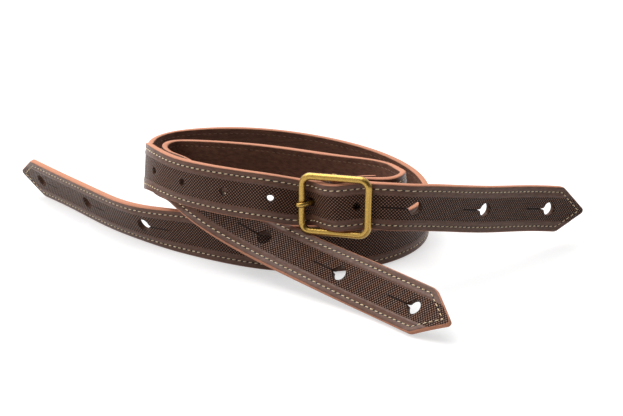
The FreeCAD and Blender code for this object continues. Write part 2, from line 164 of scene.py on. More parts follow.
def leaned(route):
    points = np.array([r[:3] for r in route], float)
    rough = Path(points, [(0, 0, 1)] * len(points), drawn["roughPieces"])
    widths = []
    for point, r in zip(points, route):
        head = rough.heads[np.argmin(np.linalg.norm(rough.points - point, axis=1))]
        up = unit(np.array([0, 0, 1]) - head * head[2])
        lean = math.radians(r[3])
        widths.append(up * math.cos(lean) + np.cross(head, up) * math.sin(lean))
    return list(points), widths


# the buckle's own frame on the long strap
longBase = Path(*leaned(longRoute), drawn["roughPieces"])
barStation = longBase.length - strap["barFromTail"]
barPoint, barHead, barAcross, barOut = [v[0] for v in longBase.frame(barStation)]


def inBuckle(x, z, y=0.0):
    return barPoint + barHead * x + barAcross * y + barOut * z


def humpHeight(x):
    if abs(x) >= halfSpan:
        return trough
    return trough + (crest - trough) * (1 + math.cos(math.pi * x / halfSpan)) / 2


def humpOffset(x, depth):
    slope = (humpHeight(x + 0.01) - humpHeight(x - 0.01)) / 0.02
    norm = math.hypot(1, slope)
    return x + slope / norm * depth, humpHeight(x) - depth / norm


def evenly(start, end, step):
    count = round((end - start) / step)
    return [start + (end - start) * k / count for k in range(count + 1)]


def restDepth(x):
    # how far the strap lies below the buckle's middle: on the lower side bar, and lower outside it
    outside = strap["hangsLower"][0 if x < 0 else 1]
    return strap["restsLower"] + outside * (x / halfSpan) ** 4


def longPath():
    # the drawn route, with the rise over the centre bar put in at the buckle
    reach, step, half = halfSpan + drawn["buckleReach"], drawn["pointSpacing"], drawn["risePoints"]
    before, _, beforeWidths, _ = longBase.frame(evenly(0.0, barStation - reach, step))
    after, _, afterWidths, _ = longBase.frame(evenly(barStation + reach, longBase.length, step))
    over = [halfSpan * k / half for k in range(-half, half + 1)]
    rise = np.array([inBuckle(x, humpHeight(x), -restDepth(x)) for x in over])
    widths = [beforeWidths, np.tile(barAcross, (len(over), 1)), afterWidths]
    return Path(np.concatenate([before, rise, after]), np.concatenate(widths))


def shortPath():
    # turnback end, fold round the centre bar, then out behind the long strap
    gap = strap["strapGap"]
    arc = []
    for degrees in range(*drawn["foldDegrees"]):
        turn = math.radians(degrees)
        arc.append(inBuckle(foldRadius * math.cos(turn),
                            foldRadius * math.sin(turn) - strap["centreBarSetback"]))
    under = strap["lining"] + gap + strap["leather"]
    onward = [inBuckle(*humpOffset(x, under)) for x in drawn["pastFold"]]
    points, widths = leaned(shortRoute)
    along = [barAcross] * len(onward) + widths
    onwardRun = Path([arc[-1]] + onward + points, [barAcross] + along, drawn["roughPieces"])
    back = evenly(strap["turnback"], drawn["foldClear"], drawn["turnbackStep"])
    turnback = list(onwardRun.at(back, 0.0, -strap["lining"] - gap))
    widths = [barAcross] * (len(turnback) + len(arc)) + along
    return Path(turnback + arc + onward + points, widths)


longRun, shortRun = longPath(), shortPath()


def nearestStation(path, point, low=0.0, high=1e9):
    allowed = (path.along >= low) & (path.along <= high)
    far = np.linalg.norm(path.points - point, axis=1) + np.where(allowed, 0, 1e6)
    return path.along[np.argmin(far)]


foldPoint = inBuckle(0, foldRadius - strap["centreBarSetback"])
foldTop = nearestStation(shortRun, foldPoint, 0, 3 * strap["turnback"])
barOnLong = nearestStation(longRun, inBuckle(0, crest))
print("routes: long strap %.1f mm, short strap %.1f mm" % (longRun.length, shortRun.length))


# where the holes and slits are, by length along each strap
cuts = {
    "keyholeRadius": 3.75,
    "keyholePitch": 50.8,
    "keyholeFromTip": 22.5,
    "slitLength": 17.5,
    "slitHalf": 0.13,
    "mouthHalf": 0.7,
    "mouthTaper": 0.8,
    "slotCorner": 0.6,  # share of a slot's half width that its corners round off
    "adjustingRadius": 1.9,
    "adjustingPitch": 25.4,
    "adjustingCount": 7,
    "prongHole": 1,  # which adjusting hole the prong goes through
    "prongHoleFromBar": 13.6,
    "prongThroughLeather": (-15.2, -11.2),  # from and to, in the buckle's frame
    "prongThroughLining": (-14.4, -8.6),
    "foldSlotEnd": 5.5,
    "foldSlotHalf": 1.8,
}


def circle(s, radius, steps=28):
    turns = np.linspace(0, 2 * math.pi, steps, endpoint=False)
    return np.stack([s + radius * np.cos(turns), radius * np.sin(turns)], axis=1)


def roundSlot(a, b, half, steps=8):
    # a slot from a to b along the strap, with rounded corners
    corner = half * cuts["slotCorner"]
    points = []
    for cs, cu, start in ((b - corner, half - corner, 0), (a + corner, half - corner, 90),
                          (a + corner, corner - half, 180), (b - corner, corner - half, 270)):
        for turn in np.radians(np.linspace(start, start + 90, steps)):
            points.append((cs + corner * math.cos(turn), cu + corner * math.sin(turn)))
    return np.array(points)


def slitSide(x):
    # half the slit's width: a mouth at the round hole that soon closes to a cut
    return cuts["slitHalf"] + cuts["mouthHalf"] * np.exp((cuts["keyholeRadius"] - x) / cuts["mouthTaper"])


def keyhole(s, inward):
    # a round hole and the slit that runs from it away from the strap's tip
    radius, end = cuts["keyholeRadius"], cuts["slitLength"]
    mouth = math.asin(slitSide(radius) / radius)
    turns = np.linspace(mouth, 2 * math.pi - mouth, 44)
    hole = np.stack([radius * np.cos(turns), radius * np.sin(turns)], axis=1)
    towardsEnd = np.linspace(0, 1, 18)[1:] ** 1.7  # closer together at the mouth
    x = hole[0, 0] + (end - hole[0, 0]) * towardsEnd
    side = np.stack([x, slitSide(x)], axis=1)
    point = [(end + cuts["slitHalf"], 0.0)]
    shape = np.concatenate([hole, side * (1, -1), point, side[::-1]])
    return np.stack([s + inward * shape[:, 0], inward * shape[:, 1]], axis=1)


def keyholeSpots(length, fromStart):
    for k in range(3):
        e = cuts["keyholeFromTip"] + k * cuts["keyholePitch"]
        yield e if fromStart else length - e


def spread(polygon, grow):
    # the polygon pushed outwards by a small amount
    ahead, behind = np.roll(polygon, -1, axis=0), np.roll(polygon, 1, axis=0)
    along = unit(ahead - behind)
    side = np.stack([along[:, 1], -along[:, 0]], axis=1)
    x, y = polygon[:, 0], polygon[:, 1]
    turning = np.sum(x * np.roll(y, -1) - np.roll(x, -1) * y)
    return polygon + side * grow * (1 if turning > 0 else -1)


def inside(points, polygon):
    hit = np.zeros(len(points), bool)
    a, b = polygon, np.roll(polygon, -1, axis=0)
    for (ax, ay), (bx, by) in zip(a, b):
        if ay == by:
            continue
        crosses = (ay > points[:, 1]) != (by > points[:, 1])
        hit ^= crosses & (points[:, 0] < (bx - ax) * (points[:, 1] - ay) / (by - ay) + ax)
    return hit


def awayFrom(points, polygon):
    # distance from each point to the polygon's outline
    best = np.full(len(points), 1e9)
    for a, b in zip(polygon, np.roll(polygon, -1, axis=0)):
        edge = b - a
        t = np.clip((points - a) @ edge / max(edge @ edge, 1e-12), 0, 1)
        best = np.minimum(best, np.linalg.norm(points - a - t[:, None] * edge, axis=1))
    return best


class Strip:
    # the flat pattern of one strap: s along it from first to last, u across it

    def __init__(self, path, first, last, tips):
        self.path, self.first, self.last, self.tips = path, first, last, tips

    def rim(self, s, u):
        # distance inside the outline
        depth = halfWidth - np.abs(u)
        for pointed, e in zip(self.tips, (s - self.first, self.last - s)):
            depth = np.minimum(depth, self.tipDepth(e, np.abs(u)) if pointed else e)
        return depth

    def tipDepth(self, e, u):
        # distance inside a pointed end's slopes, rounded at the nose and the shoulders
        nose, blend = strap["noseRadius"], strap["shoulderBlend"]
        sine, cosine = math.sin(tipAngle), math.cos(tipAngle)
        depth = (e + noseSetback) * sine - u * cosine
        depth = np.where((e - nose) * cosine + u * sine < 0, nose - np.hypot(e - nose, u), depth)
        de, du = e - shoulderAlong, u - shoulderAcross
        return np.where((de < 0) & (de * cosine + du * sine > 0), blend - np.hypot(de, du), depth)

    def tipSide(self, rim, spacing):
        # half of a pointed end at a depth inside the outline, from the nose to the shoulder
        nose, blend = strap["noseRadius"] - rim, strap["shoulderBlend"] - rim
        front = [(rim / math.sin(tipAngle) - noseSetback, 0.0)]
        if nose > 0:
            front = [(strap["noseRadius"] - nose * math.cos(t), nose * math.sin(t))
                     for t in np.linspace(0, math.pi / 2 - tipAngle, 6)]
        shoulder = [(front[0][0] + (halfWidth - rim) / math.tan(tipAngle), halfWidth - rim)]
        if blend > 0:
            shoulder = [(shoulderAlong - blend * math.sin(t), shoulderAcross + blend * math.cos(t))
                        for t in np.linspace(tipAngle, 0, 6)]
        start, end = np.array(front[-1]), np.array(shoulder[0])
        count = max(1, round(np.linalg.norm(end - start) / spacing))
        slope = [tuple(start + (end - start) * k / count) for k in range(1, count)]
        return front + slope + shoulder

    def loop(self, rim, spacing):
        # the closed line at a depth inside the outline
        reach = shoulderAlong + 0.5 * spacing
        a = self.first + (reach if self.tips[0] else 0)
        b = self.last - (reach if self.tips[1] else 0)
        rows = np.linspace(a, b, max(2, round((b - a) / spacing)))
        rows = rows[rows >= self.first + (0 if self.tips[0] else rim)]
        if not self.tips[0]:
            rows = np.concatenate([[self.first + rim], rows[rows > self.first + rim + 0.2]])
        if not self.tips[1]:
            rows = np.concatenate([rows[rows < self.last - rim - 0.2], [self.last - rim]])
        upper = [(s, halfWidth - rim) for s in rows]
        if self.tips[0]:
            upper = [(self.first + e, u) for e, u in self.tipSide(rim, spacing)] + upper
        else:
            upper = self.squareEnd(upper[0][0], rim, spacing) + upper
        if self.tips[1]:
            upper += [(self.last - e, u) for e, u in self.tipSide(rim, spacing)[::-1]]
        else:
            upper += self.squareEnd(upper[-1][0], rim, spacing)[::-1]
        lower = [(s, -u) for s, u in upper[::-1] if u > 1e-9]
        return np.array(upper + lower)

    def squareEnd(self, s, rim, spacing):
        count = max(2, round((halfWidth - rim) / spacing))
        return [(s, u) for u in np.linspace(0, halfWidth - rim, count + 1)[:-1]]


# how the flat patterns are divided: loops at depths inside the outline, and straight rows farther in
meshing = {
    "spacing": 1.5,
    "quickSpacing": 3.0,
    "loops": [0.1, 0.25, 0.45, 0.8, 1.4, 2.0, 2.6, 3.1, 3.6],
    "leatherRows": [4.3, 4.8, 5.2, 5.6, 6.0, 6.3, 6.6, 7.7, 9.2, 10.8, 12.2],
    "liningRows": [5.0, 6.3, 7.7, 9.2, 10.8, 12.2],
    "clearOfLoops": 0.3,
    "holeRings": (0.18, 0.45),  # points of their own this far round each hole
    "clearOfHoles": 0.75,  # and no others nearer than this
    "holeReach": 30.0,  # the distance from a hole is known this far along the strap
    "farFromHoles": 9.0,
    "atEdge": 0.3,
    "lipsPinched": 0.1,  # share of a slit's width left at the joint between the layers
    "sliver": 1e-7,
    "sameSpot": 1e-6,
}


def rowsAlong(strip, depths, spacing):
    # straight rows of points at depths from the long edges, up to the ends' own loops
    count = round((strip.last - strip.first) / spacing)
    s = np.linspace(strip.first, strip.last, count)
    across = [side * (halfWidth - d) for d in depths for side in (1, -1)]
    rows = np.concatenate([np.stack([s, np.full(count, u)], axis=1) for u in across])
    return rows[strip.rim(rows[:, 0], rows[:, 1]) > meshing["loops"][-1] + meshing["clearOfLoops"]]


def flatTriangles(strip, holes, rows, spacing):
    # the flat pattern cut into triangles, without its holes
    outline = strip.loop(0.0, spacing)
    loops = [strip.loop(r, spacing) for r in meshing["loops"]]
    fill = np.concatenate(loops + [rowsAlong(strip, rows, spacing)])
    rings = []
    for shape in holes:
        near = awayFrom(fill, shape)
        fill = fill[~(inside(fill, shape) | (near < meshing["clearOfHoles"]))]
        rings += [spread(shape, grow) for grow in meshing["holeRings"]]
    points, edges = [], []
    for line in [outline] + list(holes):
        start, n = len(points), len(line)
        points += [tuple(p) for p in line]
        edges += [(start + k, start + (k + 1) % n) for k in range(n)]
    points += [tuple(p) for p in np.concatenate([fill] + rings)]
    flat, _, triangles, *_ = delaunay([Vector(p) for p in points], edges, [], 0, meshing["sameSpot"])
    flat = np.array([tuple(p) for p in flat])
    triangles = np.array(triangles)
    middles = flat[triangles].mean(axis=1)
    keep = inside(middles, outline)
    for shape in holes:
        keep &= ~inside(middles, shape)
    return flat, triangles[keep]


def facing(flat, triangles, sign):
    # the triangles without slivers, all turned to one side
    a, b, c = (flat[triangles[:, k]] for k in range(3))
    turning = (b[:, 0] - a[:, 0]) * (c[:, 1] - a[:, 1]) - (b[:, 1] - a[:, 1]) * (c[:, 0] - a[:, 0])
    whole = np.abs(turning) > meshing["sliver"]
    triangles, turning = triangles[whole], turning[whole]
    triangles[turning * sign < 0] = triangles[turning * sign < 0][:, ::-1]
    return triangles


def added(name, data):
    piece = bpy.data.objects.new(name, data)
    bpy.context.scene.collection.objects.link(piece)
    return piece


def smoothMesh(name, verts, faces):
    mesh = bpy.data.meshes.new(name)
    mesh.from_pydata(verts.tolist(), [], faces)
    mesh.polygons.foreach_set("use_smooth", np.ones(len(faces), bool))
    return mesh


def sheetPiece(name, strip, holes, rows, profile, sign, spacing):
    # the visible face of a layer with its walls; profile(rim, side, cut) is the face's height
    flat, triangles = flatTriangles(strip, holes, rows, spacing)
    triangles = facing(flat, triangles, sign)
    rim = strip.rim(flat[:, 0], flat[:, 1])
    cut = np.full(len(flat), meshing["farFromHoles"])
    for shape in holes:
        close = np.abs(flat[:, 0] - shape[:, 0].mean()) < meshing["holeReach"]
        cut[close] = np.minimum(cut[close], awayFrom(flat[close], shape))
    height = profile(rim, halfWidth - np.abs(flat[:, 1]), cut)
    # the walls: every open edge of the face goes straight down to the joint between the layers
    used = dict.fromkeys((tri[k], tri[(k + 1) % 3]) for tri in triangles for k in range(3))
    openEdges = [pair for pair in used if (pair[1], pair[0]) not in used]
    order = sorted({v for pair in openEdges for v in pair})
    below = {v: len(flat) + k for k, v in enumerate(order)}
    foot = flat[order]
    foot[np.abs(foot[:, 1]) < 2 * cuts["slitHalf"], 1] *= meshing["lipsPinched"]
    spots = np.concatenate([flat, foot])
    heights = np.concatenate([height, np.zeros(len(order))])
    faces = [tuple(t) for t in triangles]
    faces += [(b, a, below[a], below[b]) for a, b in openEdges]
    mesh = smoothMesh(name, strip.path.at(spots[:, 0], spots[:, 1], heights * sign) * mm, faces)
    corners = np.empty(len(mesh.loops), int)
    mesh.loops.foreach_get("vertex_index", corners)
    mapped = mesh.uv_layers.new(name="strapMap")
    mapped.data.foreach_set("uv", (spots[corners] * mm).astype(np.float32).ravel())
    for label, values in (("rim", rim), ("cut", cut)):
        # negative at the foot of its own walls
        feet = np.where(values[order] < meshing["atEdge"], -1.0, values[order])
        layer = mesh.attributes.new(label, "FLOAT", "POINT")
        layer.data.foreach_set("value", np.concatenate([values, feet]).astype(np.float32))
    return added(name, mesh)


# the relief of a strap's faces
relief = {
    "borderWidth": 6.1,
    "borderRise": 0.12,
    "borderBlend": 0.5,
    "ridge": 0.2,
    "ridgeInset": 5.2,
    "ridgeHalf": 0.7,
    "stitchInset": 3.1,
    "stitchDip": 0.12,
    "stitchSpread": 0.6,
    "ridgeStart": 2.0,  # the ridge rises from this far inside the outline
    "holeSoftness": 0.35,
}


def roundedEdge(rim, thick):
    over = strap["roundOver"]
    inward = np.clip(1 - rim / over, 0, 1)
    return thick - over * (1 - np.sqrt(1 - inward ** 2))


def stitchGroove(rim):
    return relief["stitchDip"] * np.exp(-((rim - relief["stitchInset"]) / relief["stitchSpread"]) ** 2)


def holeEdge(cut):
    soft = relief["holeSoftness"]
    return 0.5 * soft * np.clip(1 - cut / soft, 0, 1) ** 2


def outerFace(rim, side, cut):
    # rounded edge, a border with its pressed stitch line and ridge, and the sunk band between the borders
    sunk = np.clip((side - relief["borderWidth"]) / relief["borderBlend"], 0, 1)
    ridge = relief["ridge"] * np.exp(-((side - relief["ridgeInset"]) / relief["ridgeHalf"]) ** 2)
    height = roundedEdge(rim, strap["leather"]) - relief["borderRise"] * sunk
    return height + ridge * np.clip(rim - relief["ridgeStart"], 0, 1) - stitchGroove(rim) - holeEdge(cut)


def innerFace(rim, side, cut):
    return roundedEdge(rim, strap["lining"]) - stitchGroove(rim) - holeEdge(cut)


def stationAt(path, spots, x):
    # the length along a path, among the spots given, that lies over a place in the buckle's frame
    reached = (path.frame(spots)[0] - barPoint) @ barHead
    if reached[0] > reached[-1]:
        reached, spots = reached[::-1], spots[::-1]
    return float(np.interp(x, reached, spots))


def longHoles(prongFrom, prongTo):
    shapes = [keyhole(s, 1) for s in keyholeSpots(longRun.length, True)]
    shapes += [keyhole(s, -1) for s in keyholeSpots(longRun.length, False)]
    for k in range(cuts["adjustingCount"]):
        if k != cuts["prongHole"]:
            s = barOnLong - cuts["prongHoleFromBar"] + cuts["adjustingPitch"] * (cuts["prongHole"] - k)
            shapes.append(circle(s, cuts["adjustingRadius"]))
    spots = np.linspace(barOnLong - 25, barOnLong, 400)  # the last 25 mm before the centre bar
    span = [stationAt(longRun, spots, x) for x in (prongFrom, prongTo)]
    prongHole = roundSlot(*span, cuts["adjustingRadius"])
    return shapes + [prongHole + np.array([0.0, restDepth(prongFrom)])]


def foldStation(x, side):
    # where the short strap passes a place in the buckle's frame, before or after its fold
    low, high = (0, foldTop) if side < 0 else (foldTop, foldTop + strap["turnback"])
    return stationAt(shortRun, np.linspace(low, high, 300), x)


longTips, shortTips = (True, True), (False, True)
frontEnd = shortRun.length + strap["frontBeyond"]
longStrip = Strip(longRun, 0.0, longRun.length + strap["tailBeyond"], longTips)
shortStrip = Strip(shortRun, 0.0, frontEnd, shortTips)
liningStrip = Strip(shortRun, foldTop + strap["liningStart"], frontEnd, shortTips)
tailHoles = [keyhole(s, -1) for s in keyholeSpots(shortRun.length, False)]
foldSlot = roundSlot(*[foldStation(cuts["foldSlotEnd"], side) for side in (-1, 1)], cuts["foldSlotHalf"])

leatherRows, liningRows = meshing["leatherRows"], meshing["liningRows"]
sheets = {
    "long_strap_leather": (longStrip, longHoles(*cuts["prongThroughLeather"]), leatherRows, outerFace, 1),
    "long_strap_lining": (longStrip, longHoles(*cuts["prongThroughLining"]), liningRows, innerFace, -1),
    "short_strap_leather": (shortStrip, tailHoles + [foldSlot], leatherRows, outerFace, 1),
    "short_strap_lining": (liningStrip, tailHoles, liningRows, innerFace, -1),
}
pieces = {}
sheetSpacing = meshing["spacing"]
for node, layer in sheets.items():
    pieces[node] = sheetPiece("soft_" + node, *layer, sheetSpacing)
print("layers:", ", ".join("%s %d faces" % (n, len(p.data.polygons)) for n, p in pieces.items()))


# single stitches of thick waxed thread
stitch = {
    "pitch": 3.2,
    "length": 2.4,
    "halfWidth": 0.26,
    "lift": 0.25,
    "sink": 0.25,
    "slant": 0.15,
    "liningShare": 0.7,  # the lining's stitches are this much smaller
    "endShare": 0.25,  # thickness at a stitch's ends
    "archShare": 0.35,
    "sides": 8,
    "steps": 7,
    "lineSpacing": 0.7,
    "foldFrom": 3.0,  # the turnback's U of thread runs from here
    "foldShort": 7.0,  # to this far short of the fold
    "openFrom": 7.0,  # the open row starts this far past the fold
    "liningFrom": 3.0,  # and the lining's row this far inside its own end
}


def stitchRun(line, closed):
    # points and directions at the start, along and at the end of every stitch on a line of the pattern
    ring = np.concatenate([line, line[:1]]) if closed else line
    along = np.concatenate([[0], np.cumsum(np.linalg.norm(np.diff(ring, axis=0), axis=1))])
    count = round(along[-1] / stitch["pitch"])
    pitch = along[-1] / count
    steps = np.linspace(0, 1, stitch["steps"])
    t = np.arange(count)[:, None] * pitch + 0.5 * (pitch - stitch["length"]) + steps * stitch["length"]
    spots, ahead, behind = [
        np.stack([np.interp(t + shift, along, ring[:, k]) for k in range(2)], axis=-1)
        for shift in (0.0, 0.3, -0.3)]
    heading = unit(ahead - behind)
    side = np.stack([-heading[..., 1], heading[..., 0]], axis=-1)
    return spots + side * (steps - 0.5)[None, :, None] * 2 * stitch["slant"], side


def stitches(name, runs):
    # one mesh of small arched threads; each run is (strip, line, closed, face height, sign)
    sides = stitch["sides"]
    turns = np.linspace(0, 2 * math.pi, sides, endpoint=False)
    verts, faces, liningSide = [], [], []
    for strip, line, closed, high, sign in runs:
        spots, side = stitchRun(line, closed)
        count, rows = spots.shape[:2]
        share = 1 if sign > 0 else stitch["liningShare"]
        arch = np.sin(np.linspace(0, math.pi, rows))
        swell = share * (np.sqrt(arch) * (1 - stitch["endShare"]) + stitch["endShare"])
        rise = stitch["sink"] + share * stitch["lift"] * stitch["archShare"]
        lift = high - stitch["sink"] + rise * np.sqrt(arch)
        across = np.cos(turns)[None, None, :, None] * side[:, :, None] * stitch["halfWidth"]
        flat = spots[:, :, None] + across * swell[None, :, None, None]
        height = lift[None, :, None] + np.sin(turns) * stitch["lift"] * swell[None, :, None]
        height = np.broadcast_to(height, flat.shape[:3])
        start = sum(len(v) for v in verts)
        where = strip.path.at(flat[..., 0].ravel(), flat[..., 1].ravel(), height.ravel() * sign)
        verts.append(where * mm)
        before = len(faces)
        for n in range(count):
            base = start + n * rows * sides
            for r in range(rows - 1):
                for k in range(sides):
                    a, b = base + r * sides + k, base + r * sides + (k + 1) % sides
                    quad = (a, b, b + sides, a + sides)
                    faces.append(quad if sign > 0 else quad[::-1])
            faces.append(tuple(range(base, base + sides))[::sign * -1])
            end = base + (rows - 1) * sides
            faces.append(tuple(range(end, end + sides))[::sign])
        liningSide += [sign < 0] * (len(faces) - before)
    mesh = smoothMesh(name, np.concatenate(verts), faces)
    mesh.attributes.new("liningSide", "FLOAT", "FACE").data.foreach_set("value", np.array(liningSide, np.float32))
    return added(name, mesh)


def pastStation(line, low):
    return line[line[:, 0] >= low]


inset = relief["stitchInset"]
outHigh, inHigh = strap["leather"] - relief["stitchDip"], strap["lining"] - relief["stitchDip"]
longLine = longStrip.loop(inset, stitch["lineSpacing"])
shortLine = shortStrip.loop(inset, stitch["lineSpacing"])
openLine = pastStation(shortLine, foldTop + stitch["openFrom"])
liningLine = pastStation(shortLine, foldTop + strap["liningStart"] + stitch["liningFrom"])
foldStart, foldEnd = stitch["foldFrom"], strap["turnback"] - stitch["foldShort"]
foldLine = np.array(
    [(s, halfWidth - inset) for s in np.arange(foldEnd, foldStart, -0.5)]
    + [(foldStart, u) for u in np.linspace(halfWidth - inset, inset - halfWidth, 30)]
    + [(s, inset - halfWidth) for s in np.arange(foldStart + 0.5, foldEnd + 0.1, 0.5)])
pieces["long_strap_stitching"] = stitches("soft_long_strap_stitching", [
    (longStrip, longLine, True, outHigh, 1), (longStrip, longLine, True, inHigh, -1)])
pieces["short_strap_stitching"] = stitches("soft_short_strap_stitching", [
    (shortStrip, openLine, False, outHigh, 1), (shortStrip, liningLine, False, inHigh, -1)])
pieces["fold_stitching"] = stitches("soft_fold_stitching", [(shortStrip, foldLine, False, outHigh, 1)])
counted = ["%s %d faces" % (n, len(p.data.polygons)) for n, p in pieces.items() if "stitching" in n]
print("stitches:", ", ".join(counted))
for node, piece in pieces.items():
    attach(piece, "straps")
    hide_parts(node)


# the buckle's cast frame: a ring of round bar with a lower centre bar, a little uneven
buckle = {
    "sideGap": 0.6,
    "cornerRadius": 5.0,
    "turned": 0.02,  # radians
    "skewed": 0.12,  # how far the end bars lean, per millimetre of their height
    "sitsLower": 0.3,
    "sitsNearer": 0.1,
    "standsOut": 0.8,
    "centreBarLess": 0.1,  # the centre bar is thinner than its fold allows
    "bentEnds": [(0.1, 0.5), (0.7, 0.88), (1.8, 1.0)],  # short of the ring, and share of the setback
    "straightShort": 2.0,
    "uneven": 0.05,
    "waves": [(5, 2, 1.0, 0.0), (11, -1, 0.6, 1.3), (17, 3, 0.4, 0.0)],  # along, round, share, phase
    "sides": 24,
}


def ringLine():
    # the ring's middle line: a rectangle with round corners, turned a little on the strap
    corner = buckle["cornerRadius"]
    endOut = halfSpan - corner
    sideOut = halfWidth + buckle["sideGap"] + strap["barRadius"] - corner
    corners = []
    for k, (sx, sy) in enumerate(((1, 1), (-1, 1), (-1, -1), (1, -1))):
        turns = np.linspace(0, math.pi / 2, 13) + k * math.pi / 2
        middle = np.array([sx * endOut, sy * sideOut])
        corners.append(middle + corner * np.stack([np.cos(turns), np.sin(turns)], axis=1))
    line = []
    for here, following in zip(corners, corners[1:] + corners[:1]):
        line += [*here, *np.linspace(here[-1], following[0], 16)[1:-1]]
    lean = buckle["skewed"] + buckle["turned"]
    return [inBuckle(x + lean * y - buckle["sitsNearer"], buckle["standsOut"],
                     y - buckle["turned"] * x - buckle["sitsLower"]) for x, y in line]


def centreBarLine():
    # straight through the fold, with its ends bent up into the ring's side bars
    side = halfWidth + buckle["sideGap"] + strap["barRadius"]
    low = -strap["centreBarSetback"]
    ends = [(side - short, low * share) for short, share in buckle["bentEnds"]]
    ends = [(ends[0][0], buckle["standsOut"])] + ends
    reach = side - buckle["straightShort"]
    straight = [(y, low) for y in np.linspace(-reach, reach, 9)[1:-1]]
    line = [(-y, z) for y, z in ends] + straight + ends[::-1]
    # the ends follow the ring, which sits lower; the straight part stays in the fold
    return [inBuckle(0.0, z, y if z == low else y - buckle["sitsLower"]) for y, z in line]


def barMesh(line, halfWide, halfThick, closed, outward):
    # a bar along a line, its thickness a little uneven as castings are
    line = np.array(line)
    if closed:
        heads = np.roll(line, -1, axis=0) - np.roll(line, 1, axis=0)
    else:
        heads = np.gradient(line, axis=0)
    heads = unit(heads)
    sideways = unit(np.cross(heads, outward))
    upward = np.cross(sideways, heads)
    count, around = len(line), buckle["sides"]
    turns = np.linspace(0, 2 * math.pi, around, endpoint=False)
    along = np.arange(count)[:, None] / count * 2 * math.pi
    swell = sum(share * np.sin(m * along + n * turns + phase) for m, n, share, phase in buckle["waves"])
    swell = swell * buckle["uneven"] / 2
    wide = ((halfWide + swell) * np.cos(turns))[..., None] * sideways[:, None]
    thick = ((halfThick + swell) * np.sin(turns))[..., None] * upward[:, None]
    verts = (line[:, None] + wide + thick).reshape(-1, 3)
    faces = []
    for k in range(count if closed else count - 1):
        for j in range(around):
            a, b = k * around + j, k * around + (j + 1) % around
            up = around * ((k + 1) % count - k)
            faces.append((a, b, b + up, a + up))
    if not closed:
        faces += [tuple(range(around))[::-1], tuple(range((count - 1) * around, count * around))]
    return verts * mm, faces


def brassPiece(name, node, body, parts):
    # one mesh of the bars given, standing for a node
    verts, faces = np.zeros((0, 3)), []
    for barVerts, barFaces in parts:
        faces += [tuple(v + len(verts) for v in face) for face in barFaces]
        verts = np.concatenate([verts, barVerts])
    mesh = smoothMesh(name, verts, faces)
    piece = added(name, mesh)
    fixed = bmesh.new()
    fixed.from_mesh(mesh)
    bmesh.ops.recalc_face_normals(fixed, faces=fixed.faces)
    fixed.to_mesh(mesh)
    fixed.free()
    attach(piece, body)
    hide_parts(node)
    return piece


# the prong: a loop round the centre bar, then out through the strap's hole and over the side bar
prong = {
    "halfWidth": 1.25,
    "halfThickness": 1.0,
    "loopRadius": 2.4,
    "loopThickness": 0.7,
    "shankLean": 0.6,
    "line": [(-1.8, -3.0), (-5.0, -3.1), (-8.5, -3.9), (-11.0, -4.4), (-12.6, -3.5), (-13.9, -1.4),
             (-15.3, 1.1), (-16.8, 3.05), (-18.4, 3.8), (-19.9, 3.6)],
}


def prongParts():
    knots = np.array(prong["line"])
    along = np.concatenate([[0], np.cumsum(np.linalg.norm(np.diff(knots, axis=0), axis=1))])
    steps = np.linspace(0, along[-1], 60)
    shank = [inBuckle(x, z) for x, z in splineThrough(along, knots, steps)]
    radius, setback = prong["loopRadius"], strap["centreBarSetback"]
    turns = np.linspace(0, 2 * math.pi, 33)[:-1]
    loop = [inBuckle(radius * math.cos(t), radius * math.sin(t) - setback) for t in turns]
    outward = barHead * prong["shankLean"] + barOut
    return [
        barMesh(shank, prong["halfWidth"], prong["halfThickness"], False, outward),
        barMesh(loop, prong["loopThickness"], prong["halfWidth"], True, barAcross),
    ]


def frameParts():
    ring, centre = strap["barRadius"], strap["centreBarRadius"] - buckle["centreBarLess"]
    return [barMesh(ringLine(), ring, ring, True, barOut),
            barMesh(centreBarLine(), centre, centre, False, barHead)]


brassPieces = {
    "buckle_frame": brassPiece("brass_buckle_frame", "buckle_frame", "frame", frameParts()),
    "buckle_prong": brassPiece("brass_buckle_prong", "buckle_prong", "prong", prongParts()),
}
print("brass:", ", ".join("%s %d faces" % (n, len(p.data.polygons)) for n, p in brassPieces.items()))


